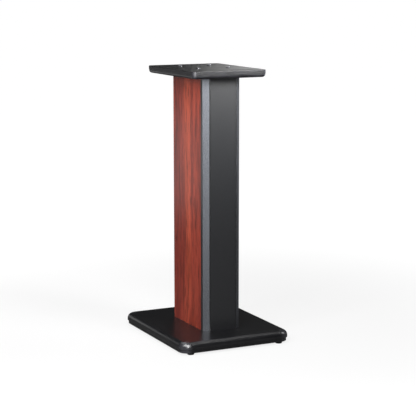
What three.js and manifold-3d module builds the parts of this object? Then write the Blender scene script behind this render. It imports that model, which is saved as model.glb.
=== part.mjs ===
// A fixed stand for a bookshelf loudspeaker: a hollow column on a wide base board, with a small top
// plate. Millimetres, +Z up. The front faces -Y, "left" is -X, and the origin is on the floor under
// the middle of the base board. Nothing on it moves: two boards are bolted to the column's ends.

import * as THREE from 'three';
import { mergeVertices } from 'three/addons/utils/BufferGeometryUtils.js';
import Module from 'manifold-3d';

const wasm = await Module();
wasm.setup();

// ------------------------------------------------------------------------- driving dimensions

const GAP = 0.3;                      // clearance between pieces that are let into each other
const ROUND_STEPS = 20;               // segments round a bolt, nut, washer or foot
const HOLE_STEPS = 16;                // segments round a drilled hole
const HEX_SIDES = 6;
const CORNER_STEPS = 6;               // segments of a board's rounded corner
const CUT_OVERRUN = 1;                // how far a cutting tool stands out of what it cuts

const BASE_WIDTH = 295;
const BASE_DEPTH = 362;
const BASE_THICKNESS = 26;
const BASE_CORNER = 28;               // radius of the board's corners, seen from above
const BASE_ROUND_IN = 12;             // the rounded upper edge: how far it reaches in
const BASE_ROUND_DOWN = 13;           // and how far down
const BASE_STEP_IN = 2.8;             // below it the edge steps in by this much
const BASE_STEP_HEIGHT = 8;           // height of the set-back part
const BASE_LIP = 1.6;                 // radius under the round, above the step

const COLUMN_WIDTH = 100;
const COLUMN_DEPTH = 180;
const COLUMN_HEIGHT = 622;
const COLUMN_Y = -10;                 // the column stands forward of the base board's middle
const FRONT_THICKNESS = 22;
const FRONT_CHAMFER = 13.5;           // leg of the 45 degree chamfers on the front board
const SIDE_THICKNESS = 18;
const REAR_THICKNESS = 12;
const REAR_REBATE = 9;                // how far the rear panel is let into each side panel
const END_BLOCK_THICKNESS = 18;
const TONGUE_WIDTH = 6;               // joins a side panel to the front board
const TONGUE_LENGTH = 5.3;
const SHADOW_GROOVE = 1.6;            // width and depth of the upright grooves in the front board
const GROOVE_MARGIN = 0.8;            // from the chamfer's edge to such a groove

const STRIP_MARGIN = 0.5;             // bare chamfer left beside the metal strip
const STRIP_THICKNESS = 1.2;

const TOP_WIDTH = 196;
const TOP_DEPTH = 270;
const TOP_THICKNESS = 18;
const TOP_Y = -5;
const TOP_CORNER = 11;
const TOP_BAND = 8.6;                 // height of the flat upper band of the edge
const TOP_QUIRK = 0.6;                // the small step under that band
const TOP_ROUND = 7.7;                // radius of the lower edge
const TOP_ARRIS = 1;                  // softened upper edge

const BOLT_X = 40;                    // the bolts run into the middle of the side panels' ends
const BOLT_ROWS = { front: -46, rear: 60 };
const BOLT_RADIUS = 3;
const BOLT_LENGTH = 65;
const BOLT_HOLE_DEPTH = 52;           // drilled into the end of a side panel
const NUT_DEPTH = 40;                 // from the panel's end to the middle of the barrel nut
const NUT_RADIUS = 5;
const NUT_LENGTH = 14;
const SLOT_WIDTH = 1.2;

const BUTTON_HEAD_RADIUS = 5.25;      // the low domed heads on the top plate
const BUTTON_HEAD_HEIGHT = 3.3;
const BUTTON_HEAD_RIM = 0.5;          // height of the upright rim below the dome
const BUTTON_DOME_IN = 3;             // from the rim to the small flat round the socket
const BUTTON_HEX = { radius: 2.3, depth: 2.1 };   // hexagon socket, to its corners
const CAP_HEAD_RADIUS = 5;
const CAP_HEAD_HEIGHT = 6;
const CAP_HEX = { radius: 2.9, depth: 3 };
const COUNTERBORE_RADIUS = 8;
const COUNTERBORE_DEPTH = 9.5;
const WASHER_RADIUS = 7;
const WASHER_THICKNESS = 1.2;

const FOOT_HEIGHT = 5;
const FOOT_RADIUS = 8.5;
const FOOT_ROUND = 1.8;
const FOOT_BORE = 2;
const FOOT_RECESS_RADIUS = 4.2;
const FOOT_RECESS_DEPTH = 3;
const FOOT_X = 119.5;
const FOOT_Y = 167;
const SCREW_HEAD_RADIUS = 3.4;
const SCREW_HEAD_HEIGHT = 2;
const SCREW_RADIUS = 1.5;
const SCREW_LENGTH = 13;
const SCREW_TIP = 3;
const CROSS_WIDTH = 0.8;
const CROSS_LENGTH = 3.6;
const CROSS_DEPTH = 0.9;

// ------------------------------------------------------------------------- derived places

const baseBottom = FOOT_HEIGHT;
const baseTop = baseBottom + BASE_THICKNESS;
const columnTop = baseTop + COLUMN_HEIGHT;
const standTop = columnTop + TOP_THICKNESS;

const halfWidth = COLUMN_WIDTH / 2;
const columnFront = COLUMN_Y - COLUMN_DEPTH / 2;
const columnRear = COLUMN_Y + COLUMN_DEPTH / 2;
const frontBoardBack = columnFront + FRONT_THICKNESS;
const sideInner = halfWidth - SIDE_THICKNESS;
const rearPanelFront = columnRear - REAR_THICKNESS;
const rearPanelHalf = sideInner + REAR_REBATE;
const tongueOuter = halfWidth - (SIDE_THICKNESS - TONGUE_WIDTH) / 2;
const boltClearance = BOLT_RADIUS + GAP;
const nutBore = NUT_RADIUS + GAP;

// ------------------------------------------------------------------------- materials

function material(color, roughness, metalness = 0) {
  return new THREE.MeshStandardMaterial({ color, roughness, metalness });
}

const blackWrap = material(0x1d1d20, 0.5);
const blackFront = material(0x26272a, 0.55);
const cherryVeneer = material(0x8c3a28, 0.42);
const graphiteStrip = material(0x5c5f64, 0.4, 0.6);
const bareBoard = material(0x9c7c58, 0.9);
const blackSteel = material(0x2c2c2f, 0.35, 1);
const zincSteel = material(0xb4b6ba, 0.35, 1);
const blackRubber = material(0x0e0e0f, 0.8);

// ------------------------------------------------------------------------- solid helpers

/** The closed solid that a three.js geometry bounds. */
function toSolid(geometry) {
  const bare = geometry.clone();
  bare.deleteAttribute('normal');
  bare.deleteAttribute('uv');
  const merged = mergeVertices(bare, 1e-4);
  const vertProperties = new Float32Array(merged.attributes.position.array);
  const triVerts = new Uint32Array(merged.index.array);
  return new wasm.Manifold(new wasm.Mesh({ numProp: 3, vertProperties, triVerts }));
}

/** A three.js geometry of a solid's surface. */
function toGeometry(solid) {
  const mesh = solid.getMesh();
  const geometry = new THREE.BufferGeometry();
  geometry.setAttribute('position', new THREE.BufferAttribute(mesh.vertProperties, 3));
  geometry.setIndex(new THREE.BufferAttribute(mesh.triVerts, 1));
  geometry.computeVertexNormals();
  return geometry;
}

/** The geometry with every tool's volume taken out of it. */
function cut(geometry, tools) {
  let solid = toSolid(geometry);
  for (const tool of tools) {
    solid = solid.subtract(toSolid(tool));
  }
  return toGeometry(solid);
}

/** A straight prism between two heights, over an outline of [x, y] points. */
function prism(points, bottom, top) {
  const shape = new THREE.Shape(points.map(([x, y]) => new THREE.Vector2(x, y)));
  const geometry = new THREE.ExtrudeGeometry(shape, { depth: top - bottom, bevelEnabled: false });
  return geometry.translate(0, 0, bottom);
}

/** A block between two opposite corners. */
function block([x0, y0, z0], [x1, y1, z1]) {
  const geometry = new THREE.BoxGeometry(x1 - x0, y1 - y0, z1 - z0);
  return geometry.translate((x0 + x1) / 2, (y0 + y1) / 2, (z0 + z1) / 2);
}

/** An upright round rod, or a hexagonal one with six steps. */
function rod(radius, x, y, bottom, top, steps = HOLE_STEPS) {
  const geometry = new THREE.CylinderGeometry(radius, radius, top - bottom, steps);
  return geometry.rotateX(Math.PI / 2).translate(x, y, (bottom + top) / 2);
}

/** A rod that lies along X. */
function crossRod(radius, x0, x1, y, z, steps = ROUND_STEPS) {
  const geometry = new THREE.CylinderGeometry(radius, radius, Math.abs(x1 - x0), steps);
  return geometry.rotateZ(Math.PI / 2).translate((x0 + x1) / 2, y, z);
}

/** A turned shape about the Z axis, from a profile of [radius, height] points. */
function turned(profile, steps = ROUND_STEPS) {
  const points = profile.map(([radius, height]) => new THREE.Vector2(radius, height));
  return new THREE.LatheGeometry(points, steps).rotateX(Math.PI / 2);
}

/** Mirrors an outline of the left half to make one that is whole from left to right. */
function mirrored(leftPoints) {
  const rightPoints = leftPoints.map(([x, y]) => [-x, y]).reverse();
  return [...leftPoints, ...rightPoints];
}

// ------------------------------------------------------------------------- moulded boards

/** One level of a moulded board: its rectangle with rounded corners, drawn in by the inset. */
function boardOutline(width, depth, corner, inset) {
  const points = [];
  const radius = corner - inset;
  for (let quarter = 0; quarter < 4; quarter += 1) {
    const signX = quarter === 0 || quarter === 3 ? 1 : -1;
    const signY = quarter < 2 ? 1 : -1;
    const centreX = signX * (width / 2 - corner);
    const centreY = signY * (depth / 2 - corner);
    for (let step = 0; step <= CORNER_STEPS; step += 1) {
      const angle = (Math.PI / 2) * (quarter + step / CORNER_STEPS);
      points.push([centreX + radius * Math.cos(angle), centreY + radius * Math.sin(angle)]);
    }
  }
  return points;
}

/** A board whose edge follows a profile of [inset, height] levels, from its underside up. */
function mouldedBoard(width, depth, corner, profile) {
  const levels = profile.map(([inset]) => boardOutline(width, depth, corner, inset));
  const count = levels[0].length;
  const positions = [];
  levels.forEach((outline, level) => {
    outline.forEach(([x, y]) => positions.push(x, y, profile[level][1]));
  });
  const undersideMiddle = positions.length / 3;
  positions.push(0, 0, profile[0][1]);
  const topMiddle = undersideMiddle + 1;
  positions.push(0, 0, profile[profile.length - 1][1]);

  const triangles = [];
  const lastLevel = (levels.length - 1) * count;
  for (let side = 0; side < count; side += 1) {
    const next = (side + 1) % count;
    for (let level = 0; level < levels.length - 1; level += 1) {
      const low = level * count;
      const high = low + count;
      triangles.push(low + side, low + next, high + next);
      triangles.push(low + side, high + next, high + side);
    }
    triangles.push(undersideMiddle, next, side);
    triangles.push(topMiddle, lastLevel + side, lastLevel + next);
  }
  const geometry = new THREE.BufferGeometry();
  geometry.setAttribute('position', new THREE.Float32BufferAttribute(positions, 3));
  geometry.setIndex(triangles);
  geometry.computeVertexNormals();
  return geometry;
}

/** Points of a quarter ellipse as [inset, height], from the widest point to the flat face. */
function quarterRound(startInset, startHeight, reachIn, reachUp) {
  const points = [];
  for (let step = 0; step <= CORNER_STEPS; step += 1) {
    const angle = (Math.PI / 2) * (step / CORNER_STEPS);
    const inset = startInset + reachIn * (1 - Math.cos(angle));
    points.push([inset, startHeight + reachUp * Math.sin(angle)]);
  }
  return points;
}

/** The same below a board: from its underside, at the given height, up to the widest point. */
function underRound(startInset, underside, radius) {
  return quarterRound(startInset, underside + radius, radius, -radius).reverse();
}

/** Thins out the points of a small round. */
function everyThird(point, index) {
  return index % 3 === 0;
}

/** The four bolts, as a name with a side and a row. */
function boltPlaces() {
  const places = [];
  for (const [row, y] of Object.entries(BOLT_ROWS)) {
    places.push({ name: `${row}_left`, side: -1, y });
    places.push({ name: `${row}_right`, side: 1, y });
  }
  return places;
}

/** The four feet, as a name and a place. */
function footPlaces() {
  return [
    { name: 'front_left', x: -FOOT_X, y: -FOOT_Y },
    { name: 'front_right', x: FOOT_X, y: -FOOT_Y },
    { name: 'rear_left', x: -FOOT_X, y: FOOT_Y },
    { name: 'rear_right', x: FOOT_X, y: FOOT_Y },
  ];
}

/** Base board: bullnose above, set back below, bored for the column's bolts and the foot screws. */
function baseBoard() {
  const step = baseBottom + BASE_STEP_HEIGHT;
  const profile = [
    [BASE_STEP_IN, baseBottom],
    [BASE_STEP_IN, step],
    ...underRound(0, step, BASE_LIP).filter(everyThird),
    ...quarterRound(0, baseTop - BASE_ROUND_DOWN, BASE_ROUND_IN, BASE_ROUND_DOWN),
  ];
  const board = mouldedBoard(BASE_WIDTH, BASE_DEPTH, BASE_CORNER, profile);
  const below = baseBottom - CUT_OVERRUN;
  const tools = [];
  for (const { side, y } of boltPlaces()) {
    const x = side * BOLT_X;
    tools.push(rod(boltClearance, x, y, below, baseTop + CUT_OVERRUN));
    tools.push(rod(COUNTERBORE_RADIUS, x, y, below, baseBottom + COUNTERBORE_DEPTH, ROUND_STEPS));
  }
  for (const { x, y } of footPlaces()) {
    tools.push(rod(SCREW_RADIUS + GAP, x, y, below, baseBottom + SCREW_LENGTH, HOLE_STEPS));
  }
  return cut(board, tools);
}

/** Top plate: a flat band with a rounded lower edge, bored for its four bolts. */
function topPlate() {
  const bandBottom = standTop - TOP_BAND;
  const profile = [
    ...underRound(TOP_QUIRK, columnTop, TOP_ROUND),
    [TOP_QUIRK, bandBottom - GAP],
    [0, bandBottom],
    ...quarterRound(0, standTop - TOP_ARRIS, TOP_ARRIS, TOP_ARRIS).filter(everyThird),
  ];
  const plate = mouldedBoard(TOP_WIDTH, TOP_DEPTH, TOP_CORNER, profile).translate(0, TOP_Y, 0);
  const ends = [columnTop - CUT_OVERRUN, standTop + CUT_OVERRUN];
  const tools = boltPlaces().map(({ side, y }) => rod(boltClearance, side * BOLT_X, y, ...ends));
  return cut(plate, tools);
}

// ------------------------------------------------------------------------- column

/** Front board: chamfered corners with a shallow rebate for a strip, grooved behind for the sides. */
function frontBoard() {
  const chamferSide = [-halfWidth, columnFront + FRONT_CHAMFER];
  const chamferFront = [-halfWidth + FRONT_CHAMFER, columnFront];
  const rebate = alongChamfer(STRIP_MARGIN, STRIP_THICKNESS + GAP);
  const grooveDepth = frontBoardBack - TONGUE_LENGTH - GAP;
  const grooveOuter = -halfWidth + FRONT_CHAMFER + GROOVE_MARGIN;
  const leftPoints = [
    [-tongueOuter + TONGUE_WIDTH + GAP, frontBoardBack],
    [-tongueOuter + TONGUE_WIDTH + GAP, grooveDepth],
    [-tongueOuter - GAP, grooveDepth],
    [-tongueOuter - GAP, frontBoardBack],
    [-halfWidth, frontBoardBack],
    chamferSide,
    ...rebate,
    chamferFront,
    [grooveOuter, columnFront],
    [grooveOuter, columnFront + SHADOW_GROOVE],
    [grooveOuter + SHADOW_GROOVE, columnFront + SHADOW_GROOVE],
    [grooveOuter + SHADOW_GROOVE, columnFront],
  ];
  return prism(mirrored(leftPoints), baseTop, columnTop);
}

/**
 * The corners of a rectangle sunk into the left chamfer: it starts on the chamfer's face, a margin
 * in from its side edge, goes down by the depth, along, and up to the face again.
 */
function alongChamfer(margin, depth) {
  const diagonal = Math.SQRT1_2;
  const length = FRONT_CHAMFER / diagonal;
  const point = (along, under) => [
    -halfWidth + (along + under) * diagonal,
    columnFront + FRONT_CHAMFER + (under - along) * diagonal,
  ];
  return [
    point(margin, 0),
    point(margin, depth),
    point(length - margin, depth),
    point(length - margin, 0),
  ];
}

/** Metal strip in a chamfer, flush with it. */
function trimStrip(side) {
  const points = alongChamfer(STRIP_MARGIN + GAP, STRIP_THICKNESS);
  const placed = side < 0 ? points : points.map(([x, y]) => [-x, y]).reverse();
  return prism(placed, baseTop, columnTop);
}

/** Side panel, with its front tongue, its rear rebate, and bolt and barrel-nut holes at both ends. */
function sidePanel(side) {
  const frontEnd = frontBoardBack + GAP;
  const tongueEnd = frontBoardBack - TONGUE_LENGTH;
  const leftPoints = [
    [-halfWidth, frontEnd],
    [-tongueOuter, frontEnd],
    [-tongueOuter, tongueEnd],
    [-tongueOuter + TONGUE_WIDTH, tongueEnd],
    [-tongueOuter + TONGUE_WIDTH, frontEnd],
    [-sideInner, frontEnd],
    [-sideInner, rearPanelFront],
    [-rearPanelHalf, rearPanelFront],
    [-rearPanelHalf, columnRear],
    [-halfWidth, columnRear],
  ];
  const points = side < 0 ? leftPoints : leftPoints.map(([x, y]) => [-x, y]).reverse();
  const panel = prism(points, baseTop, columnTop);
  const nutHoleEnd = side * (BOLT_X + NUT_LENGTH / 2 + GAP);
  const nutHoleMouth = side * (sideInner - CUT_OVERRUN);
  const tools = [];
  for (const y of Object.values(BOLT_ROWS)) {
    const x = side * BOLT_X;
    tools.push(rod(boltClearance, x, y, columnTop - BOLT_HOLE_DEPTH, columnTop + CUT_OVERRUN));
    tools.push(rod(boltClearance, x, y, baseTop - CUT_OVERRUN, baseTop + BOLT_HOLE_DEPTH));
    for (const z of [baseTop + NUT_DEPTH, columnTop - NUT_DEPTH]) {
      tools.push(crossRod(nutBore, nutHoleMouth, nutHoleEnd, y, z));
    }
  }
  return cut(panel, tools);
}

/** Rear panel, let into the rebates of both sides. */
function rearPanel() {
  const half = rearPanelHalf - GAP;
  return block([-half, rearPanelFront + GAP, baseTop], [half, columnRear, columnTop]);
}

/** Block glued between the panels at one end of the column. */
function endBlock(bottom) {
  const half = sideInner - GAP;
  const front = frontBoardBack + GAP;
  const rear = rearPanelFront - GAP;
  return block([-half, front, bottom], [half, rear, bottom + END_BLOCK_THICKNESS]);
}

// ------------------------------------------------------------------------- fasteners and feet

/** Button-headed bolt that hangs from the underside of its domed head at height 0. */
function buttonHeadBolt() {
  const tip = BOLT_RADIUS / 4;
  const domeUp = BUTTON_HEAD_HEIGHT - BUTTON_HEAD_RIM;
  const dome = quarterRound(0, BUTTON_HEAD_RIM, BUTTON_DOME_IN, domeUp)
    .map(([inset, height]) => [BUTTON_HEAD_RADIUS - inset, height]);
  const profile = [
    [0, -BOLT_LENGTH],
    [BOLT_RADIUS - tip, -BOLT_LENGTH],
    [BOLT_RADIUS, -BOLT_LENGTH + tip],
    [BOLT_RADIUS, 0],
    [BUTTON_HEAD_RADIUS, 0],
    ...dome,
    [0, BUTTON_HEAD_HEIGHT],
  ];
  const socketBottom = BUTTON_HEAD_HEIGHT - BUTTON_HEX.depth;
  const socketTop = BUTTON_HEAD_HEIGHT + CUT_OVERRUN;
  return cut(turned(profile), [rod(BUTTON_HEX.radius, 0, 0, socketBottom, socketTop, HEX_SIDES)]);
}

/** Cap-headed bolt that stands up from its head's upper face at height 0. */
function capHeadBolt() {
  const headFace = -CAP_HEAD_HEIGHT;
  const softened = CAP_HEAD_RADIUS / 10;
  const tip = BOLT_RADIUS / 4;
  const profile = [
    [0, headFace],
    [CAP_HEAD_RADIUS - softened, headFace],
    [CAP_HEAD_RADIUS, headFace + softened],
    [CAP_HEAD_RADIUS, 0],
    [BOLT_RADIUS, 0],
    [BOLT_RADIUS, BOLT_LENGTH - tip],
    [BOLT_RADIUS - tip, BOLT_LENGTH],
    [0, BOLT_LENGTH],
  ];
  const socketEnds = [headFace - CUT_OVERRUN, headFace + CAP_HEX.depth];
  return cut(turned(profile), [rod(CAP_HEX.radius, 0, 0, ...socketEnds, HEX_SIDES)]);
}

/** Barrel nut lying along X, with its cross hole for the bolt and a slot in its inner end. */
function barrelNut(side) {
  const half = NUT_LENGTH / 2;
  const slotHalf = SLOT_WIDTH / 2;
  const innerEnd = -side * half;
  const slotX = [innerEnd - CUT_OVERRUN, innerEnd + CUT_OVERRUN];
  const hole = rod(boltClearance, 0, 0, -NUT_RADIUS - CUT_OVERRUN, NUT_RADIUS + CUT_OVERRUN);
  const slot = block(
    [slotX[0], -slotHalf, -NUT_RADIUS - CUT_OVERRUN],
    [slotX[1], slotHalf, NUT_RADIUS + CUT_OVERRUN],
  );
  return cut(crossRod(NUT_RADIUS, -half, half, 0, 0), [hole, slot]);
}

/** Flat washer from height 0 up. */
function washer() {
  return turned([
    [boltClearance, 0],
    [WASHER_RADIUS, 0],
    [WASHER_RADIUS, WASHER_THICKNESS],
    [boltClearance, WASHER_THICKNESS],
    [boltClearance, 0],
  ]);
}

/** Rubber foot with its rim rounded at the floor and a recess for the screw's head. */
function rubberFoot() {
  const rim = underRound(0, 0, FOOT_ROUND)
    .filter(everyThird)
    .map(([inset, height]) => [FOOT_RADIUS - inset, height]);
  return turned([
    [FOOT_RECESS_RADIUS, 0],
    ...rim,
    [FOOT_RADIUS, FOOT_HEIGHT],
    [FOOT_BORE, FOOT_HEIGHT],
    [FOOT_BORE, FOOT_RECESS_DEPTH],
    [FOOT_RECESS_RADIUS, FOOT_RECESS_DEPTH],
    [FOOT_RECESS_RADIUS, 0],
  ]);
}

/** Pan-headed screw that points up, with its head's upper face at height 0 and a cross recess. */
function footScrew() {
  const headFace = -SCREW_HEAD_HEIGHT;
  const dome = SCREW_HEAD_HEIGHT / 2;
  const profile = [
    [0, headFace],
    [SCREW_HEAD_RADIUS - dome, headFace],
    [SCREW_HEAD_RADIUS, headFace + dome],
    [SCREW_HEAD_RADIUS, 0],
    [SCREW_RADIUS, 0],
    [SCREW_RADIUS, SCREW_LENGTH - SCREW_TIP],
    [0, SCREW_LENGTH],
  ];
  const arm = CROSS_LENGTH / 2;
  const half = CROSS_WIDTH / 2;
  const depths = [headFace - CUT_OVERRUN, headFace + CROSS_DEPTH];
  const tools = [
    block([-arm, -half, depths[0]], [arm, half, depths[1]]),
    block([-half, -arm, depths[0]], [half, arm, depths[1]]),
  ];
  return cut(turned(profile, HOLE_STEPS), tools);
}

// ------------------------------------------------------------------------- assembly

const stand = new THREE.Group();

function addPiece(name, geometry, finish, x = 0, y = 0, z = 0) {
  const mesh = new THREE.Mesh(geometry, finish);
  mesh.name = name;
  mesh.position.set(x, y, z);
  stand.add(mesh);
}

addPiece('base_board', baseBoard(), blackWrap);
addPiece('top_plate', topPlate(), blackWrap);
addPiece('front_board', frontBoard(), blackFront);
addPiece('rear_panel', rearPanel(), blackFront);
addPiece('bottom_end_block', endBlock(baseTop), bareBoard);
addPiece('top_end_block', endBlock(columnTop - END_BLOCK_THICKNESS), bareBoard);
for (const [sideName, side] of [['left', -1], ['right', 1]]) {
  addPiece(`${sideName}_side_panel`, sidePanel(side), cherryVeneer);
  addPiece(`${sideName}_trim_strip`, trimStrip(side), graphiteStrip);
}

const washerTop = baseBottom + COUNTERBORE_DEPTH - GAP;
const washerBottom = washerTop - WASHER_THICKNESS;
for (const { name, side, y } of boltPlaces()) {
  const x = side * BOLT_X;
  addPiece(`top_bolt_${name}`, buttonHeadBolt(), blackSteel, x, y, standTop);
  addPiece(`top_barrel_nut_${name}`, barrelNut(side), zincSteel, x, y, columnTop - NUT_DEPTH);
  addPiece(`base_bolt_${name}`, capHeadBolt(), blackSteel, x, y, washerBottom - GAP);
  addPiece(`base_washer_${name}`, washer(), zincSteel, x, y, washerBottom);
  addPiece(`base_barrel_nut_${name}`, barrelNut(side), zincSteel, x, y, baseTop + NUT_DEPTH);
}

for (const { name, x, y } of footPlaces()) {
  addPiece(`foot_${name}`, rubberFoot(), blackRubber, x, y, 0);
  addPiece(`foot_screw_${name}`, footScrew(), zincSteel, x, y, FOOT_RECESS_DEPTH - GAP);
}

export default stand;
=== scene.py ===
"""The looks of a loudspeaker stand: wrapped boards, cherry veneer, graphite trim, bolts and feet.

Metres, +Z up. The front faces -Y and "left" is -X. Boards, strips, bolts, washers and feet are
rebuilt here with their true edges, at the places where the frame holds them. The end blocks, barrel
nuts and foot screws, which nothing shows, keep their solids and get a finish. The bolts' bores in
the side panels don't show either and are left out.
"""

import math

import bpy
from mathutils import Matrix, Vector


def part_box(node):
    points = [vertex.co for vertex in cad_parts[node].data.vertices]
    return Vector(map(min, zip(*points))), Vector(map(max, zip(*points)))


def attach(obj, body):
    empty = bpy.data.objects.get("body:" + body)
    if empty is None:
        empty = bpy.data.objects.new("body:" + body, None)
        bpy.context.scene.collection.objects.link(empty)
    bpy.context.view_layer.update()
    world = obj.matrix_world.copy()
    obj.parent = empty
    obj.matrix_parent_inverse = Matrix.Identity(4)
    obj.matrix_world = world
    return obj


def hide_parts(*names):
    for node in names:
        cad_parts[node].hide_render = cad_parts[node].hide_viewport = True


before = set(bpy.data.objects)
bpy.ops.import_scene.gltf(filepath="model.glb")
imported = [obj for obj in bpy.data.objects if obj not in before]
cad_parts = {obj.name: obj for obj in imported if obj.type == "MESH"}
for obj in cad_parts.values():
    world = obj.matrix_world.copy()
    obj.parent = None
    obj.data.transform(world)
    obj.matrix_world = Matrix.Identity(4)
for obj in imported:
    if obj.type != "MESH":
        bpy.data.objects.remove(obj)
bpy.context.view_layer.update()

MM = 0.001
BODY = "root"

# ------------------------------------------------------------------------- sizes of the edges

CORNER_STEPS = 24                     # segments of a board's rounded corner
ROUND_STEPS = 48                      # segments round a bolt, foot or hole
ARRIS_STEPS = 4                       # segments of a softened edge
EDGE_STEPS = 14                       # segments of a moulded edge

BASE_CORNER = 28 * MM
BASE_STEP_IN = 2.8 * MM               # the lower part of the edge is set back by this much
BASE_STEP_HEIGHT = 8 * MM
BASE_LIP = 1.6 * MM
BASE_ROUND_IN = 12 * MM
BASE_ROUND_DOWN = 13 * MM
BASE_LOWER_ARRIS = 0.6 * MM

TOP_CORNER = 11 * MM
TOP_BAND = 8.6 * MM
TOP_QUIRK = 0.6 * MM                  # the small step between the flat band and the lower round
TOP_QUIRK_HEIGHT = 0.3 * MM
TOP_ROUND = 7.7 * MM
TOP_ARRIS = 1 * MM

FRONT_CHAMFER = 13.5 * MM
STRIP_MARGIN = 0.5 * MM
STRIP_THICKNESS = 1.2 * MM
GAP = 0.3 * MM
SHADOW_GROOVE = 1.6 * MM
GROOVE_MARGIN = 0.8 * MM
SIDE_THICKNESS = 18 * MM
REAR_REBATE = 9 * MM
TONGUE_WIDTH = 6 * MM
TONGUE_LENGTH = 5.3 * MM
BOARD_ARRIS = 0.5 * MM                # softened edges of the column's boards
FINE_ARRIS = 0.12 * MM                # edges of tongues, grooves and rebates
STRIP_ARRIS = 2 * FINE_ARRIS
GROOVE_ARRIS = 3 * FINE_ARRIS         # the shadow groove's edge towards the middle of the front

BOLT_RADIUS = 3 * MM
BOLT_LENGTH = 65 * MM
HOLE_RADIUS = BOLT_RADIUS + GAP
THREAD_TIP = 0.75 * MM
HEAD_RADIUS = 5.25 * MM
HEAD_HEIGHT = 3.3 * MM
HEAD_RIM = 0.5 * MM
HEAD_DOME_IN = 3 * MM
HEAD_SOCKET_RADIUS = 2.3 * MM
HEAD_SOCKET_DEPTH = 2.1 * MM
CAP_RADIUS = 5 * MM
CAP_HEIGHT = 6 * MM
CAP_SOFTENED = 0.5 * MM
CAP_SOCKET_RADIUS = 2.9 * MM
CAP_SOCKET_DEPTH = 3 * MM
COUNTERBORE_RADIUS = 8 * MM
COUNTERBORE_DEPTH = 9.5 * MM
WASHER_RADIUS = 7 * MM
WASHER_EDGE = 0.2 * MM

FOOT_RADIUS = 8.5 * MM
FOOT_ROUND = 1.8 * MM
FOOT_BORE = 2 * MM
FOOT_RECESS_RADIUS = 4.2 * MM
FOOT_RECESS_DEPTH = 3 * MM
SCREW_RADIUS = 1.5 * MM
SCREW_HOLE = SCREW_RADIUS + GAP
CUT_OVERRUN = 1 * MM

ROWS = ("front", "rear")
SIDES = ("left", "right")
CORNERS = [f"{row}_{side}" for row in ROWS for side in SIDES]

# ------------------------------------------------------------------------- looks and the studio

PAINTED_CORNER_HIGHLIGHT = "#2C2C30"           # painted highlight: the upright corners are painted paler
CORNER_GLOSS = 0.05                # and made smoother there, by this much
BAND_PLACE = (0.0, 3.35, 1.7)         # where in the noise the veneer's broad bands are cut from
FLAT_ANGLE = 32                       # degrees between faces, above which an edge stays sharp

LENS = 120.78                         # on Blender's 36 mm sensor
CAMERA_PLACE = (-1.48497, -3.09714, 0.90235)
CAMERA_DOWN = 9.611                   # degrees below the horizon
CAMERA_TURN = -25.726                 # degrees about Z, from looking along +Y
CAMERA_ROLL = -0.072

FLOOR_REACH = 150.0
FLOOR_COLOUR = "#595959"              # under the lift, so that the stand's shadow still shows
FLOOR_LIFT = 0.81                     # light added near the stand that the camera alone sees
CAMERA_WHITE = (0.4, 1.6)             # metres out over which the camera's floor turns plain white
MIRROR_WHITE = (6.0, 20.0)            # and over which the floor in reflections does
AIR_LIGHT = 0.02                      # the room's own light
MIRROR_AIR = 0.02                     # and how bright reflections show the room

CARD_GAP = 10 * MM                    # from the top plate's edges
CARD_LIFT = 7 * MM                    # over its top, so that its edges keep their light
CARD_HEIGHT = 220 * MM
CARD_GLOW = 0.14                      # dim, but not black, in the top plate's reflection


# ------------------------------------------------------------------------- colours and materials

def colour(hex_code):
    """The linear values that a shader takes, from an sRGB hex code."""
    channels = [int(hex_code[start:start + 2], 16) / 255 for start in (1, 3, 5)]
    linear = [c / 12.92 if c <= 0.04045 else ((c + 0.055) / 1.055) ** 2.4 for c in channels]
    return (*linear, 1.0)


def add_node(tree, kind, inputs=None, **settings):
    """A new node. inputs maps a socket's name or number to a value or to another node's output."""
    node = tree.nodes.new(kind)
    for name, value in settings.items():
        setattr(node, name, value)
    for socket, value in (inputs or {}).items():
        if isinstance(value, bpy.types.NodeSocket):
            tree.links.new(value, node.inputs[socket])
        else:
            node.inputs[socket].default_value = value
    return node


def new_material(name, **values):
    """A material with its shader; values are set on the shader's own sockets."""
    material = bpy.data.materials.new(name)
    material.use_nodes = True
    shader = material.node_tree.nodes["Principled BSDF"]
    for socket, value in values.items():
        shader.inputs[socket.replace("_", " ")].default_value = value
    return material, material.node_tree, shader


def stretched_noise(tree, per_metre, detail=2.0, roughness=0.5, offset=(0, 0, 0), bend=None):
    """Noise on the piece's own place; per_metre is how many blotches fit along X, Y and Z."""
    place = add_node(tree, "ShaderNodeTexCoord").outputs["Object"]
    if bend is not None:
        place = add_node(tree, "ShaderNodeVectorMath", {0: place, 1: bend}).outputs[0]
    mapped = add_node(tree, "ShaderNodeMapping",
                      {"Vector": place, "Scale": per_metre, "Location": offset})
    settings = {"Vector": mapped.outputs[0], "Scale": 1.0, "Detail": detail,
                "Roughness": roughness}
    return add_node(tree, "ShaderNodeTexNoise", settings).outputs["Fac"]


def ramp(tree, value, stops):
    """Colours or greys at places from 0 to 1 along a value."""
    node = add_node(tree, "ShaderNodeValToRGB", {"Fac": value})
    elements = node.color_ramp.elements
    while len(elements) < len(stops):
        elements.new(0.5)
    for element, (place, shade) in zip(elements, stops):
        element.position = place
        element.color = shade
    return node.outputs["Color"]


def grey(level):
    """A plain grey; above 1 it brightens what it multiplies."""
    return (level, level, level, 1.0)


def blend_colours(tree, kind, amount, below, above):
    """Mixes two colours; kind is how, such as MIX or MULTIPLY."""
    # The node's colours go in at 6 and 7 and come out at 2.
    node = add_node(tree, "ShaderNodeMix", {0: amount, 6: below, 7: above},
                    data_type="RGBA", blend_type=kind)
    return node.outputs[2]


def spread(tree, value, low, high):
    """Stretches a 0 to 1 value over a range."""
    return add_node(tree, "ShaderNodeMapRange",
                    {"Value": value, "To Min": low, "To Max": high}).outputs[0]


def combined(tree, operation, first, second):
    """One of the Math node's operations on two values."""
    return add_node(tree, "ShaderNodeMath", {0: first, 1: second}, operation=operation).outputs[0]


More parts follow.
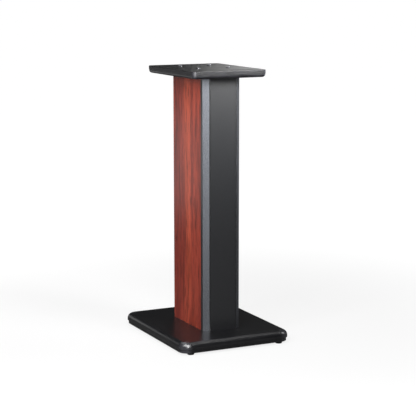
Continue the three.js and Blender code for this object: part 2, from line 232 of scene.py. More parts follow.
def bumped(tree, shader, height, depth, strength=1.0):
    """Raises the surface by a 0 to 1 height times a depth in metres."""
    bump = add_node(tree, "ShaderNodeBump",
                    {"Height": height, "Distance": depth, "Strength": strength})
    tree.links.new(bump.outputs[0], shader.inputs["Normal"])


def cherry_veneer():
    """Cherry veneer, stained red, satin lacquer: broad soft bands, fine streaks and open pores."""
    material, tree, shader = new_material("cherry_veneer_satin_lacquer",
                                          Specular_IOR_Level=0.25)
    sway = stretched_noise(tree, (3, 3, 4.5), detail=1.0, offset=(4.1, 2.7, 0.3))
    sway = spread(tree, sway, -14 * MM, 14 * MM)
    bend = add_node(tree, "ShaderNodeCombineXYZ", {"Y": sway}).outputs[0]
    bands = stretched_noise(tree, (14, 17, 0.8), offset=BAND_PLACE, bend=bend)
    # Bands are some 60 mm wide. Streaks of late wood in them are up to 9 mm wide and 140 mm long.
    streaks = stretched_noise(tree, (90, 110, 7), detail=5.0, roughness=0.72, bend=bend)
    # Pores are 0.3 mm wide on the real veneer, drawn up to 4 mm wide so that they show.
    pores = stretched_noise(tree, (300, 240, 22), detail=3.0, roughness=0.6, bend=bend)
    wood = ramp(tree, bands, [(0.36, colour("#6A261E")), (0.50, colour("#813326")),
                              (0.64, colour("#963F2B"))])
    streak_shade = ramp(tree, streaks, [(0.36, grey(0.48)), (0.48, grey(0.92)), (0.62, grey(1.24))])
    wood = blend_colours(tree, "MULTIPLY", 1.0, wood, streak_shade)
    pore_shade = ramp(tree, pores, [(0.38, grey(0.30)), (0.47, grey(1.0))])
    wood = blend_colours(tree, "MULTIPLY", 0.75, wood, pore_shade)
    tree.links.new(wood, shader.inputs["Base Color"])
    tree.links.new(spread(tree, pores, 0.26, 0.38), shader.inputs["Roughness"])
    bumped(tree, shader, pores, 0.05 * MM, 0.3)
    return material


def at_corners(tree, low, high, corner):
    """1 on a board's upright rounded corners and 0 on its straight sides, from its own place."""
    place = add_node(tree, "ShaderNodeTexCoord").outputs["Object"]
    middle = add_node(tree, "ShaderNodeVectorMath", {0: place, 1: (low + high) / 2},
                      operation="SUBTRACT").outputs[0]
    reach = add_node(tree, "ShaderNodeVectorMath", {0: middle}, operation="ABSOLUTE").outputs[0]
    past = add_node(tree, "ShaderNodeVectorMath",
                    {0: reach, 1: (high - low) / 2 - Vector((corner, corner, 0))},
                    operation="SUBTRACT").outputs[0]
    sides = add_node(tree, "ShaderNodeSeparateXYZ", {0: past}).outputs
    nearest = combined(tree, "MINIMUM", sides["X"], sides["Y"])
    return add_node(tree, "ShaderNodeMapRange",
                    {"Value": nearest, "From Max": corner / 2}).outputs[0]


def black_ash_wrap(name, grain, base, contrast, depth, roughness, wear, gloss, board, corner):
    """Black vinyl wrap embossed like ash: satin, with fine long pores that catch the light.

    grain is pores per metre, base the darkest and lightest colour, and board its two corners.
    Its upright corners are painted paler, which is a painted highlight, and are made glossier.
    """
    material, tree, shader = new_material(name, Specular_IOR_Level=gloss)
    pores = stretched_noise(tree, grain, detail=3.0, roughness=0.65)
    cloud = stretched_noise(tree, (9, 30, 30))
    dark, light = base
    body = ramp(tree, pores, [(0.5 - contrast, colour(dark)), (0.5 + contrast, colour(light))])
    # The upright corners get a painted highlight, a paler colour mixed in, and a lower roughness.
    highlight_and_gloss = at_corners(tree, *board, corner)
    body = blend_colours(tree, "MIX", highlight_and_gloss, body, colour(PAINTED_CORNER_HIGHLIGHT))
    tree.links.new(body, shader.inputs["Base Color"])
    worn = spread(tree, cloud, roughness + wear, roughness - wear)
    worn = combined(tree, "SUBTRACT", worn, combined(tree, "MULTIPLY", highlight_and_gloss, CORNER_GLOSS))
    tree.links.new(worn, shader.inputs["Roughness"])
    bumped(tree, shader, pores, depth, 1.0)
    return material


def textured_black():
    """The front board's matt textured coating: black with a fine pebble that scatters light."""
    material, tree, shader = new_material("textured_matt_black_coating",
                                          Specular_IOR_Level=0.9)
    # The pebble is about 0.4 mm on the real coating, drawn at 2.6 mm so that it shows.
    pebble = stretched_noise(tree, (380, 380, 380), roughness=0.7)
    cloud = stretched_noise(tree, (60, 60, 60))
    body = ramp(tree, pebble, [(0.38, colour("#0A0A0C")), (0.62, colour("#17181A"))])
    tree.links.new(body, shader.inputs["Base Color"])
    tree.links.new(spread(tree, cloud, 0.35, 0.29), shader.inputs["Roughness"])
    bumped(tree, shader, pebble, 0.06 * MM, 0.5)
    return material


def graphite_strip():
    """Aluminium strip, bead blasted and anodised graphite: satin with a fine sparkle."""
    material, tree, shader = new_material("graphite_anodised_blasted_aluminium", Metallic=1.0)
    # Blasting leaves dimples of 0.1 mm, drawn at 1.7 mm so that they show.
    dimples = stretched_noise(tree, (600, 600, 600), roughness=0.7)
    cloud = stretched_noise(tree, (70, 70, 25))
    body = ramp(tree, dimples, [(0.38, colour("#585A5F")), (0.62, colour("#797C82"))])
    tree.links.new(body, shader.inputs["Base Color"])
    tree.links.new(spread(tree, cloud, 0.45, 0.51), shader.inputs["Roughness"])
    bumped(tree, shader, dimples, 0.05 * MM, 0.5)
    return material


def bare_fibreboard():
    """Medium density fibreboard, sawn and unfinished: pale brown with fine flecks."""
    material, tree, shader = new_material("bare_fibreboard", Roughness=0.9)
    # Flecks of fibre are about 1 mm.
    flecks = stretched_noise(tree, (900, 900, 900), detail=3.0)
    body = ramp(tree, flecks, [(0.35, colour("#86694A")), (0.65, colour("#A78862"))])
    tree.links.new(body, shader.inputs["Base Color"])
    bumped(tree, shader, flecks, 0.1 * MM, 0.5)
    return material


def plated_steel(name, dark, light, roughness):
    """Machined steel under a thin plating or oxide: metallic, with faint turning marks."""
    material, tree, shader = new_material(name, Metallic=1.0)
    # Turning marks are under 0.1 mm apart on real bolts, drawn 0.25 mm apart.
    marks = stretched_noise(tree, (1500, 1500, 4000))
    body = ramp(tree, marks, [(0.3, colour(dark)), (0.7, colour(light))])
    tree.links.new(body, shader.inputs["Base Color"])
    tree.links.new(spread(tree, marks, roughness - 0.06, roughness + 0.06),
                   shader.inputs["Roughness"])
    bumped(tree, shader, marks, 0.01 * MM, 0.3)
    return material


def black_rubber():
    """Moulded rubber, matt black with a faint dusty bloom."""
    material, tree, shader = new_material("moulded_black_rubber", Specular_IOR_Level=0.3)
    # The bloom lies in patches of some 3 mm.
    bloom = stretched_noise(tree, (300, 300, 300), detail=3.0)
    body = ramp(tree, bloom, [(0.35, colour("#0D0D0E")), (0.7, colour("#161617"))])
    tree.links.new(body, shader.inputs["Base Color"])
    tree.links.new(spread(tree, bloom, 0.7, 0.85), shader.inputs["Roughness"])
    bumped(tree, shader, bloom, 0.04 * MM, 0.4)
    return material


# Grain per metre along X, Y and Z: pores run across the stand on both wrapped boards. They are
# 2.4 mm apart and 17 mm long on the base board, 6 mm apart and 33 mm long on the top plate.
BASE_WRAP = black_ash_wrap("black_vinyl_wrap_fine_ash", (60, 420, 420), ("#060608", "#0F0F11"),
                           contrast=0.10, depth=0.003 * MM, roughness=0.30, wear=0.04, gloss=0.7,
                           board=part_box("base_board"), corner=BASE_CORNER)
TOP_WRAP = black_ash_wrap("black_vinyl_wrap_open_ash", (30, 170, 170), ("#09090B", "#1A1A1D"),
                          contrast=0.08, depth=0.14 * MM, roughness=0.34, wear=0.12, gloss=0.45,
                          board=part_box("top_plate"), corner=TOP_CORNER)
FRONT_COAT = textured_black()
VENEER = cherry_veneer()
STRIP_METAL = graphite_strip()
BARE_BOARD = bare_fibreboard()
BLACK_STEEL = plated_steel("black_nickel_plated_steel", "#85868B", "#A0A1A6",
                           roughness=0.30)
ZINC_STEEL = plated_steel("bright_zinc_plated_steel", "#A4A6AA", "#C6C8CC",
                          roughness=0.28)
RUBBER = black_rubber()


# ------------------------------------------------------------------------- mesh helpers

def shell(name, vertices, faces):
    """A new object from vertices and faces."""
    mesh = bpy.data.meshes.new(name)
    mesh.from_pydata(vertices, [], faces)
    piece = bpy.data.objects.new(name, mesh)
    bpy.context.scene.collection.objects.link(piece)
    return piece


def settled(piece):
    """Makes a piece's modifiers part of its mesh."""
    graph = bpy.context.evaluated_depsgraph_get()
    graph.update()
    mesh = bpy.data.meshes.new_from_object(piece.evaluated_get(graph))
    piece.modifiers.clear()
    piece.data = mesh
    return piece


def loft(rings):
    """A closed shell through rings of points that run anticlockwise, from the lowest up."""
    count = len(rings[0])
    vertices = [point for ring in rings for point in ring]
    faces = []
    for level in range(len(rings) - 1):
        low = level * count
        high = low + count
        for side in range(count):
            following = (side + 1) % count
            faces.append((low + side, low + following, high + following, high + side))
    faces.append(tuple(reversed(range(count))))
    faces.append(tuple(range(len(vertices) - count, len(vertices))))
    return vertices, faces


def turned(profile, steps=ROUND_STEPS):
    """A shape turned about Z. Its profile of (radius, height) runs outside, from the lowest up."""
    vertices = []
    rings = []
    for radius, height in profile:
        if radius == 0:
            rings.append([len(vertices)] * steps)
            vertices.append((0, 0, height))
            continue
        rings.append(list(range(len(vertices), len(vertices) + steps)))
        for step in range(steps):
            angle = 2 * math.pi * step / steps
            vertices.append((radius * math.cos(angle), radius * math.sin(angle), height))
    faces = []
    closing = [] if profile[0][0] == 0 else [(rings[-1], rings[0])]
    for low, high in list(zip(rings, rings[1:])) + closing:
        for side in range(steps):
            following = (side + 1) % steps
            corners = [low[side], low[following], high[following], high[side]]
            face = tuple(dict.fromkeys(corners))
            if len(face) > 2:
                faces.append(face)
    return vertices, faces


def quarter(start_in, start_up, reach_in, reach_up, steps=EDGE_STEPS):
    """A quarter ellipse as (inset, height), from the widest point of an edge to a flat face."""
    points = []
    for step in range(steps + 1):
        angle = math.pi / 2 * step / steps
        inset = start_in + reach_in * (1 - math.cos(angle))
        points.append((inset, start_up + reach_up * math.sin(angle)))
    return points


def moved(vertices, offset):
    """The same points, moved."""
    return [tuple(Vector(point) + Vector(offset)) for point in vertices]


def merged(shapes):
    """Several shapes' vertices and faces as one."""
    vertices, faces = [], []
    for shape_vertices, shape_faces in shapes:
        start = len(vertices)
        vertices.extend(shape_vertices)
        faces.extend(tuple(start + corner for corner in face) for face in shape_faces)
    return vertices, faces


def cut_out(piece, shapes):
    """Takes turned or lofted shapes out of a piece."""
    cutter = shell("cutter", *merged(shapes))
    modifier = piece.modifiers.new("cut_out", "BOOLEAN")
    modifier.operation = "DIFFERENCE"
    modifier.solver = "EXACT"
    modifier.object = cutter
    settled(piece)
    bpy.data.objects.remove(cutter)
    return piece


def smoothed(piece):
    """Shades rounds smooth and flats flat."""
    piece.data.shade_smooth()
    piece.data.set_sharp_from_angle(angle=math.radians(FLAT_ANGLE))
    weighted = piece.modifiers.new("weighted", "WEIGHTED_NORMAL")
    weighted.keep_sharp = True
    return settled(piece)


def rod(radius, x, y, bottom, top, steps=ROUND_STEPS):
    """An upright rod."""
    vertices, faces = turned([(0, bottom), (radius, bottom), (radius, top), (0, top)], steps)
    return moved(vertices, (x, y, 0)), faces


def stand_for(piece, nodes, material):
    """Gives a finished piece its material and says which nodes it stands for."""
    piece.data.materials.clear()
    piece.data.materials.append(material)
    for face in piece.data.polygons:
        face.material_index = 0
    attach(piece, BODY)
    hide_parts(*nodes)
    return piece


# ------------------------------------------------------------------------- places from the frame

def centre(node):
    """The middle of a node's box."""
    low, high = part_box(node)
    return (low + high) / 2


BASE_LOW, BASE_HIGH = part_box("base_board")
TOP_LOW, TOP_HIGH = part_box("top_plate")
FRONT_LOW, FRONT_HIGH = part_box("front_board")
SIDE_LOW, SIDE_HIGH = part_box("left_side_panel")
REAR_LOW, REAR_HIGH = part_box("rear_panel")
BOLT_PLACES = [centre(f"top_bolt_{corner}") for corner in CORNERS]
FOOT_PLACES = [centre(f"foot_{corner}") for corner in CORNERS]
COLUMN_BOTTOM = FRONT_LOW.z
COLUMN_TOP = FRONT_HIGH.z
HALF_WIDTH = FRONT_HIGH.x
TONGUE_OUTER = HALF_WIDTH - (SIDE_THICKNESS - TONGUE_WIDTH) / 2
TONGUE_INNER = TONGUE_OUTER - TONGUE_WIDTH
SCREW_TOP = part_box("foot_screw_front_left")[1].z
WASHER_LOW, WASHER_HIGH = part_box("base_washer_front_left")


# ------------------------------------------------------------------------- wrapped boards

def board_ring(low, high, corner, inset, height):
    """One level of a board: its rectangle with rounded corners, drawn in by the inset."""
    ring = []
    radius = corner - inset
    for turn, (sign_x, sign_y) in enumerate([(1, 1), (-1, 1), (-1, -1), (1, -1)]):
        x = high.x - corner if sign_x > 0 else low.x + corner
        y = high.y - corner if sign_y > 0 else low.y + corner
        for step in range(CORNER_STEPS + 1):
            angle = math.pi / 2 * (turn + step / CORNER_STEPS)
            ring.append((x + radius * math.cos(angle), y + radius * math.sin(angle), height))
    return ring


def moulded_board(name, low, high, corner, profile):
    """A board whose edge follows a profile of (inset, height over its underside)."""
    rings = [board_ring(low, high, corner, inset, low.z + height) for inset, height in profile]
    return shell(name, *loft(rings))


def base_board():
    """Base: bullnose above a small lip, set back below, bored for bolts and foot screws."""
    thickness = BASE_HIGH.z - BASE_LOW.z
    lip = quarter(0, BASE_STEP_HEIGHT + BASE_LIP, BASE_LIP, -BASE_LIP, ARRIS_STEPS)
    foot = quarter(BASE_STEP_IN, BASE_LOWER_ARRIS, BASE_LOWER_ARRIS, -BASE_LOWER_ARRIS,
                   ARRIS_STEPS)
    profile = [
        *reversed(foot),
        (BASE_STEP_IN, BASE_STEP_HEIGHT),
        *reversed(lip),
        *quarter(0, thickness - BASE_ROUND_DOWN, BASE_ROUND_IN, BASE_ROUND_DOWN),
    ]
    piece = moulded_board("wrapped_base_board", BASE_LOW, BASE_HIGH, BASE_CORNER, profile)
    below = BASE_LOW.z - CUT_OVERRUN
    above = BASE_HIGH.z + CUT_OVERRUN
    seat = BASE_LOW.z + COUNTERBORE_DEPTH
    bolt_hole = [(0, below), (COUNTERBORE_RADIUS, below), (COUNTERBORE_RADIUS, seat),
                 (HOLE_RADIUS, seat), (HOLE_RADIUS, above), (0, above)]
    vertices, faces = turned(bolt_hole)
    shapes = [(moved(vertices, (place.x, place.y, 0)), faces) for place in BOLT_PLACES]
    for place in FOOT_PLACES:
        shapes.append(rod(SCREW_HOLE, place.x, place.y, below, SCREW_TOP))
    smoothed(cut_out(piece, shapes))
    return stand_for(piece, ["base_board"], BASE_WRAP)


def top_plate():
    """Top plate: a flat band over a quirk and a rounded lower edge, bored for four bolts."""
    thickness = TOP_HIGH.z - TOP_LOW.z
    band_bottom = thickness - TOP_BAND
    under = quarter(TOP_QUIRK, TOP_ROUND, TOP_ROUND, -TOP_ROUND)
    profile = [
        *reversed(under),
        (TOP_QUIRK, band_bottom - TOP_QUIRK_HEIGHT),
        (0, band_bottom),
        *quarter(0, thickness - TOP_ARRIS, TOP_ARRIS, TOP_ARRIS, ARRIS_STEPS),
    ]
    piece = moulded_board("wrapped_top_plate", TOP_LOW, TOP_HIGH, TOP_CORNER, profile)
    below = TOP_LOW.z - CUT_OVERRUN
    above = TOP_HIGH.z + CUT_OVERRUN
    shapes = [rod(HOLE_RADIUS, place.x, place.y, below, above) for place in BOLT_PLACES]
    smoothed(cut_out(piece, shapes))
    return stand_for(piece, ["top_plate"], TOP_WRAP)


# ------------------------------------------------------------------------- column

def softened(corners, steps=ARRIS_STEPS):
    """An outline with its corners rounded. Each corner is (x, y, reach of its round)."""
    outline = []
    count = len(corners)
    for index, (x, y, reach) in enumerate(corners):
        here = Vector((x, y))
        if reach == 0:
            outline.append(here)
            continue
        before = Vector(corners[index - 1][:2]) - here
        after = Vector(corners[(index + 1) % count][:2]) - here
        start = here + before.normalized() * reach
        end = here + after.normalized() * reach
        for step in range(steps + 1):
            along = step / steps
            outline.append(start * (1 - along) ** 2 + here * 2 * along * (1 - along)
                           + end * along ** 2)
    return outline


def opposite(corners):
    """The same outline on the other side of the stand, run through in the same turn."""
    return [(-x, y, reach) for x, y, reach in reversed(corners)]


def mirrored(left_corners):
    """An outline that is whole from left to right, from its left half."""
    return left_corners + opposite(left_corners)


def upright(name, corners):
    """A board of the column: an outline of softened corners over the column's height."""
    outline = softened(corners)
    rings = [[(point.x, point.y, height) for point in outline]
             for height in (COLUMN_BOTTOM, COLUMN_TOP)]
    return smoothed(shell(name, *loft(rings)))


def along_chamfer(margin, depth, reach):
    """A rectangle sunk into the left chamfer, from its side edge to its front edge."""
    diagonal = math.sqrt(0.5)
    length = FRONT_CHAMFER / diagonal
    corners = []
    for along, under in ((margin, 0), (margin, depth), (length - margin, depth),
                         (length - margin, 0)):
        x = -HALF_WIDTH + (along + under) * diagonal
        y = FRONT_LOW.y + FRONT_CHAMFER + (under - along) * diagonal
        corners.append((x, y, reach))
    return corners


def front_board():
    """Front board: chamfers rebated for the strips, a shadow groove beside each, tongue grooves."""
    front = FRONT_LOW.y
    back = FRONT_HIGH.y
    groove_depth = back - TONGUE_LENGTH - GAP
    groove_outer = -HALF_WIDTH + FRONT_CHAMFER + GROOVE_MARGIN
    groove_inner = groove_outer + SHADOW_GROOVE
    groove_bottom = front + SHADOW_GROOVE
    left = [
        (-TONGUE_INNER + GAP, back, 0),
        (-TONGUE_INNER + GAP, groove_depth, 0),
        (-TONGUE_OUTER - GAP, groove_depth, 0),
        (-TONGUE_OUTER - GAP, back, 0),
        (-HALF_WIDTH, back, FINE_ARRIS),
        (-HALF_WIDTH, front + FRONT_CHAMFER, FINE_ARRIS),
        *along_chamfer(STRIP_MARGIN, STRIP_THICKNESS + GAP, FINE_ARRIS),
        (-HALF_WIDTH + FRONT_CHAMFER, front, FINE_ARRIS),
        (groove_outer, front, FINE_ARRIS),
        (groove_outer, groove_bottom, FINE_ARRIS),
        (groove_inner, groove_bottom, FINE_ARRIS),
        (groove_inner, front, GROOVE_ARRIS),
    ]
    piece = upright("coated_front_board", mirrored(left))
    return stand_for(piece, ["front_board"], FRONT_COAT)


def side_panels():
    """Veneered side panels, each with its tongue in front and its rebate behind."""
    outer = HALF_WIDTH
    inner = HALF_WIDTH - SIDE_THICKNESS
    tongue_end = SIDE_LOW.y
    front = FRONT_HIGH.y + GAP
    rebate = REAR_LOW.y - GAP
    rear = SIDE_HIGH.y
    left = [
        (-outer, front, BOARD_ARRIS),
        (-TONGUE_OUTER, front, 0),
        (-TONGUE_OUTER, tongue_end, FINE_ARRIS),
        (-TONGUE_INNER, tongue_end, FINE_ARRIS),
        (-TONGUE_INNER, front, 0),
        (-inner, front, FINE_ARRIS),
        (-inner, rebate, FINE_ARRIS),
        (-inner - REAR_REBATE, rebate, 0),
        (-inner - REAR_REBATE, rear, FINE_ARRIS),
        (-outer, rear, BOARD_ARRIS),
    ]
    for side, corners in (("left", left), ("right", opposite(left))):
        piece = upright(f"veneered_{side}_panel", corners)
        stand_for(piece, [f"{side}_side_panel"], VENEER)


def trim_strips():
    """Metal strips let into the chamfers."""
    left = along_chamfer(STRIP_MARGIN + GAP, STRIP_THICKNESS, STRIP_ARRIS)
    for side, corners in (("left", left), ("right", opposite(left))):
        piece = upright(f"graphite_{side}_strip", corners)
        stand_for(piece, [f"{side}_trim_strip"], STRIP_METAL)


def rear_panel():
    """Rear panel between the side panels, with softened edges."""
    corners = [(REAR_LOW.x, REAR_LOW.y, FINE_ARRIS), (REAR_HIGH.x, REAR_LOW.y, FINE_ARRIS),
               (REAR_HIGH.x, REAR_HIGH.y, BOARD_ARRIS), (REAR_LOW.x, REAR_HIGH.y, BOARD_ARRIS)]
    piece = upright("coated_rear_panel", corners)
    return stand_for(piece, ["rear_panel"], FRONT_COAT)


# ------------------------------------------------------------------------- fasteners and feet

def four_places():
    """Geometry nodes that set one small piece on the four corners of a rectangle."""
    tree = bpy.data.node_groups.new("four_places", "GeometryNodeTree")
    sockets = {}
    for name, kind in (("Piece", "NodeSocketGeometry"), ("Width", "NodeSocketFloat"),
                       ("Depth", "NodeSocketFloat"), ("Middle Y", "NodeSocketFloat"),
                       ("Height", "NodeSocketFloat"), ("Seed", "NodeSocketInt"),
                       ("Finish", "NodeSocketMaterial")):
        sockets[name] = tree.interface.new_socket(name, in_out="INPUT", socket_type=kind)
    tree.interface.new_socket("Pieces", in_out="OUTPUT", socket_type="NodeSocketGeometry")
    given = tree.nodes.new("NodeGroupInput").outputs
    grid = add_node(tree, "GeometryNodeMeshGrid",
                    {"Size X": given["Width"], "Size Y": given["Depth"],
                     "Vertices X": 2, "Vertices Y": 2})
    middle = add_node(tree, "ShaderNodeCombineXYZ",
                      {"Y": given["Middle Y"], "Z": given["Height"]})
    corners = add_node(tree, "GeometryNodeTransform",
                       {"Geometry": grid.outputs["Mesh"], "Translation": middle.outputs[0]})
    # The highest plain number goes in at 3, and the drawn one comes out at 1.
    turn = add_node(tree, "FunctionNodeRandomValue", {3: math.tau, "Seed": given["Seed"]})
    angles = add_node(tree, "ShaderNodeCombineXYZ", {"Z": turn.outputs[1]})
    rotation = add_node(tree, "FunctionNodeEulerToRotation", {0: angles.outputs[0]})
    placed = add_node(tree, "GeometryNodeInstanceOnPoints",
                      {"Points": corners.outputs[0], "Instance": given["Piece"],
                       "Rotation": rotation.outputs[0]})
    real = add_node(tree, "GeometryNodeRealizeInstances", {"Geometry": placed.outputs[0]})
    finished = add_node(tree, "GeometryNodeSetMaterial",
                        {"Geometry": real.outputs[0], "Material": given["Finish"]})
    result = tree.nodes.new("NodeGroupOutput")
    tree.links.new(finished.outputs[0], result.inputs[0])
    return tree, {name: socket.identifier for name, socket in sockets.items()}


FOUR_PLACES, PLACE_INPUTS = four_places()


def set_on_corners(piece, places, height, material, seed):
    """Repeats a small piece, made about the origin, on four places at a height.

    The seed says how far each one is turned.
    """
    xs = [place.x for place in places]
    ys = [place.y for place in places]
    modifier = piece.modifiers.new("four_places", "NODES")
    modifier.node_group = FOUR_PLACES
    values = {"Width": max(xs) - min(xs), "Depth": max(ys) - min(ys),
              "Middle Y": (max(ys) + min(ys)) / 2, "Height": height, "Seed": seed,
              "Finish": material}
    for name, value in values.items():
        modifier[PLACE_INPUTS[name]] = value
    return settled(piece)


def hexagon(radius, bottom, top):
    """An upright rod with six sides, to cut a socket."""
    return rod(radius, 0, 0, bottom, top, steps=6)


def top_bolts():
    """Button-headed bolts with hexagon sockets, seated on the top plate."""
    dome = [(HEAD_RADIUS - inset, height) for inset, height in
            quarter(0, HEAD_RIM, HEAD_DOME_IN, HEAD_HEIGHT - HEAD_RIM)]
    profile = [(0, -BOLT_LENGTH), (BOLT_RADIUS - THREAD_TIP, -BOLT_LENGTH),
               (BOLT_RADIUS, -BOLT_LENGTH + THREAD_TIP), (BOLT_RADIUS, 0), (HEAD_RADIUS, 0),
               *dome, (0, HEAD_HEIGHT)]
    piece = shell("button_head_bolts", *turned(profile))
    cut_out(piece, [hexagon(HEAD_SOCKET_RADIUS, HEAD_HEIGHT - HEAD_SOCKET_DEPTH,
                            HEAD_HEIGHT + CUT_OVERRUN)])
    smoothed(set_on_corners(piece, BOLT_PLACES, TOP_HIGH.z, BLACK_STEEL, seed=3))
    nodes = [f"top_bolt_{corner}" for corner in CORNERS]
    return stand_for(piece, nodes, BLACK_STEEL)


def base_bolts():
    """Cap-headed bolts that stand up through the base board from below."""
    soft = [(CAP_RADIUS - inset, -CAP_HEIGHT + CAP_SOFTENED - rise) for inset, rise in
            quarter(0, 0, CAP_SOFTENED, CAP_SOFTENED, ARRIS_STEPS)]
    profile = [(0, -CAP_HEIGHT), *reversed(soft), (CAP_RADIUS, 0), (BOLT_RADIUS, 0),
               (BOLT_RADIUS, BOLT_LENGTH - THREAD_TIP), (BOLT_RADIUS - THREAD_TIP, BOLT_LENGTH),
               (0, BOLT_LENGTH)]
    piece = shell("cap_head_bolts", *turned(profile))
    cut_out(piece, [hexagon(CAP_SOCKET_RADIUS, -CAP_HEIGHT - CUT_OVERRUN,
                            -CAP_HEIGHT + CAP_SOCKET_DEPTH)])
    smoothed(set_on_corners(piece, BOLT_PLACES, WASHER_LOW.z - GAP, BLACK_STEEL, seed=5))
    nodes = [f"base_bolt_{corner}" for corner in CORNERS]
    return stand_for(piece, nodes, BLACK_STEEL)


def washers():
    """Flat washers under the cap heads, punched, so one edge of each is softened."""
    thickness = WASHER_HIGH.z - WASHER_LOW.z
    profile = [(HOLE_RADIUS, 0), (WASHER_RADIUS - WASHER_EDGE, 0), (WASHER_RADIUS, WASHER_EDGE),
               (WASHER_RADIUS, thickness), (HOLE_RADIUS, thickness)]
    piece = shell("flat_washers", *turned(profile))
    smoothed(set_on_corners(piece, BOLT_PLACES, WASHER_LOW.z, ZINC_STEEL, seed=7))
    nodes = [f"base_washer_{corner}" for corner in CORNERS]
    return stand_for(piece, nodes, ZINC_STEEL)


def feet():
    """Rubber feet with a rounded rim and a recess for the screw's head."""
    height = BASE_LOW.z
    rim = [(FOOT_RADIUS - inset, FOOT_ROUND - rise) for inset, rise in
           quarter(0, 0, FOOT_ROUND, FOOT_ROUND, ARRIS_STEPS)]
    profile = [(FOOT_RECESS_RADIUS, 0), *reversed(rim), (FOOT_RADIUS, height),
               (FOOT_BORE, height), (FOOT_BORE, FOOT_RECESS_DEPTH),
               (FOOT_RECESS_RADIUS, FOOT_RECESS_DEPTH)]
    piece = shell("rubber_feet", *turned(profile))
    smoothed(set_on_corners(piece, FOOT_PLACES, 0, RUBBER, seed=11))
    nodes = [f"foot_{corner}" for corner in CORNERS]
    return stand_for(piece, nodes, RUBBER)


def finish_hidden_nodes():
    """Nodes whose solids are right as they are: each gets its finish."""
    finishes = {"bottom_end_block": BARE_BOARD, "top_end_block": BARE_BOARD}
    for corner in CORNERS:
        finishes[f"top_barrel_nut_{corner}"] = ZINC_STEEL
        finishes[f"base_barrel_nut_{corner}"] = ZINC_STEEL
        finishes[f"foot_screw_{corner}"] = ZINC_STEEL
    for node, material in finishes.items():
        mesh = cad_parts[node].data
        mesh.materials.clear()
        mesh.materials.append(material)


# ------------------------------------------------------------------------- camera, floor, light

def photo_camera():
    """The camera that fits the photograph."""
    camera = bpy.data.objects.new("photo_camera", bpy.data.cameras.new("photo_camera"))
    camera.data.lens = LENS
    turn = Matrix.Rotation(math.radians(CAMERA_TURN), 4, "Z")
    tilt = Matrix.Rotation(math.radians(90 - CAMERA_DOWN), 4, "X")
    roll = Matrix.Rotation(math.radians(CAMERA_ROLL), 4, "Z")
    camera.matrix_world = Matrix.Translation(CAMERA_PLACE) @ turn @ tilt @ roll
    bpy.context.scene.collection.objects.link(camera)
    bpy.context.scene.camera = camera


def softbox(name, azimuth, distance, height, width, tall, radiance, aim, roll=0, fan=180):
    """A rectangular lamp that shows a radiance. azimuth is in degrees from +X; aim is a height.

    roll turns it about its own axis. A grid in front of it narrows its light to a fan, in degrees.
    """
    lamp = bpy.data.lights.new(name, "AREA")
    lamp.shape = "RECTANGLE"
    lamp.size = width
    lamp.size_y = tall
    # An area lamp shows a quarter of its watts per square metre.
    lamp.energy = 4 * width * tall * radiance
    lamp.spread = math.radians(fan)
    holder = bpy.data.objects.new(name, lamp)
    angle = math.radians(azimuth)
    place = Vector((distance * math.cos(angle), distance * math.sin(angle), height))
    facing = (Vector((0, 0, aim)) - place).to_track_quat("-Z", "Y").to_matrix().to_4x4()
    turn = Matrix.Rotation(math.radians(roll), 4, "Z")
    holder.matrix_world = Matrix.Translation(place) @ facing @ turn
    holder.visible_camera = False
    bpy.context.scene.collection.objects.link(holder)


def rising(tree, distance, reach, low):
    """Grows smoothly from low to 1 over a reach of distances."""
    return add_node(tree, "ShaderNodeMapRange",
                    {"Value": distance, "From Min": reach[0], "From Max": reach[1],
                     "To Min": low, "To Max": 1.0}, interpolation_type="SMOOTHSTEP").outputs[0]


def seen_by(tree):
    """1 for what the camera sees straight, and 1 for what shows in a reflection or through glass."""
    path = add_node(tree, "ShaderNodeLightPath").outputs
    mirror = combined(tree, "MAXIMUM", path["Is Glossy Ray"], path["Is Transmission Ray"])
    return path["Is Camera Ray"], mirror


def studio_material(name):
    """A material with an output and no shader yet, for the floor and the card."""
    material = bpy.data.materials.new(name)
    material.use_nodes = True
    tree = material.node_tree
    tree.nodes.clear()
    return material, tree, tree.nodes.new("ShaderNodeOutputMaterial").inputs["Surface"]


def floor():
    """A plain pale floor that keeps the stand's shadow and is plain white further out."""
    corners = [(-1, -1), (1, -1), (1, 1), (-1, 1)]
    vertices = [(x * FLOOR_REACH, y * FLOOR_REACH, 0) for x, y in corners]
    piece = shell("floor", vertices, [(0, 1, 2, 3)])
    material, tree, surface = studio_material("pale_floor")
    place = add_node(tree, "ShaderNodeTexCoord").outputs["Object"]
    distance = add_node(tree, "ShaderNodeVectorMath", {0: place}, operation="LENGTH").outputs[1]
    camera, mirror = seen_by(tree)
    to_camera = combined(tree, "MULTIPLY", camera,
                         rising(tree, distance, CAMERA_WHITE, FLOOR_LIFT))
    to_mirror = combined(tree, "MULTIPLY", mirror, rising(tree, distance, MIRROR_WHITE, 0.0))
    strength = combined(tree, "MAXIMUM", to_camera, to_mirror)
    glow = add_node(tree, "ShaderNodeEmission", {"Strength": strength})
    matt = add_node(tree, "ShaderNodeBsdfDiffuse", {"Color": colour(FLOOR_COLOUR)})
    both = add_node(tree, "ShaderNodeAddShader", {0: matt.outputs[0], 1: glow.outputs[0]})
    tree.links.new(both.outputs[0], surface)
    piece.data.materials.append(material)


def studio_air():
    """The dim even light of the room."""
    world = bpy.data.worlds.new("studio")
    world.use_nodes = True
    tree = world.node_tree
    background = tree.nodes["Background"]
    background.inputs["Color"].default_value = colour("#FFFFFF")
    camera, mirror = seen_by(tree)
    in_mirror = spread(tree, mirror, AIR_LIGHT, MIRROR_AIR)
    strength = combined(tree, "MAXIMUM", camera, in_mirror)
    tree.links.new(strength, background.inputs["Strength"])
    bpy.context.scene.world = world


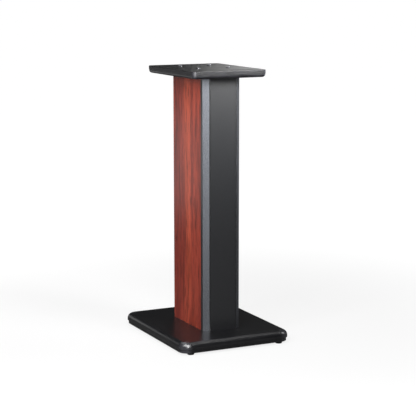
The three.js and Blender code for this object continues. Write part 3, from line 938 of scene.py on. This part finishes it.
def shading_card():
    """A dim card in front and to the left of the top plate, so that no lamp glares on its top.

    The camera doesn't see it.
    """
    left = TOP_LOW.x - CARD_GAP
    front = TOP_LOW.y - CARD_GAP
    bottom = TOP_HIGH.z + CARD_LIFT
    line = [(TOP_HIGH.x + CARD_GAP, front), (left, front), (left, TOP_HIGH.y)]
    vertices = [(x, y, height) for height in (bottom, bottom + CARD_HEIGHT) for x, y in line]
    piece = shell("shading_card", vertices, [(0, 1, 4, 3), (1, 2, 5, 4)])
    material, tree, surface = studio_material("dim_card")
    glow = add_node(tree, "ShaderNodeEmission", {"Strength": CARD_GLOW})
    tree.links.new(glow.outputs[0], surface)
    piece.data.materials.append(material)
    piece.visible_camera = False


def lamps():
    """Softboxes: a key in front and one to its left for the veneer and the strip, a narrow far one
    by the camera for the corners, a near one with a grid for the front board, two low ones behind
    for the sheen on the top plate and the veneer, and three weak ones that fill in.
    """
    # Azimuth, distance, height, width, tall and radiance, then the height that it is aimed at.
    softbox("left_softbox", 205, 1.3, 1.25, 0.26, 1.2, 10.5, aim=0.5)
    softbox("key_softbox", 238, 1.3, 1.0, 1.0, 0.85, 9.8, aim=0.2)
    softbox("camera_side_softbox", 243, 3.6, 0.95, 0.35, 0.5, 80, aim=0.4)
    softbox("near_front_softbox", 296, 0.6, 0.88, 0.3, 0.24, 7.0, aim=0.5, fan=54)
    softbox("rear_right_softbox", 58, 0.95, 0.865, 0.4, 0.1, 1.4, aim=0.7, roll=52)
    softbox("rear_left_softbox", 110, 1.4, 0.26, 0.6, 0.36, 0.75, aim=0.26)
    softbox("right_softbox", 345, 1.5, 1.2, 0.4, 1.0, 5, aim=0.3)
    softbox("rear_softbox", 95, 1.2, 1.9, 1.0, 0.5, 1.2, aim=0.3)
    softbox("overhead_softbox", 90, 0.4, 2.2, 2.4, 2.4, 0.9, aim=0.0)


photo_camera()
floor()
studio_air()
shading_card()
lamps()

base_board()
top_plate()
front_board()
side_panels()
trim_strips()
rear_panel()
top_bolts()
base_bolts()
washers()
feet()
finish_hidden_nodes()

bpy.context.scene.view_settings.view_transform = "Standard"
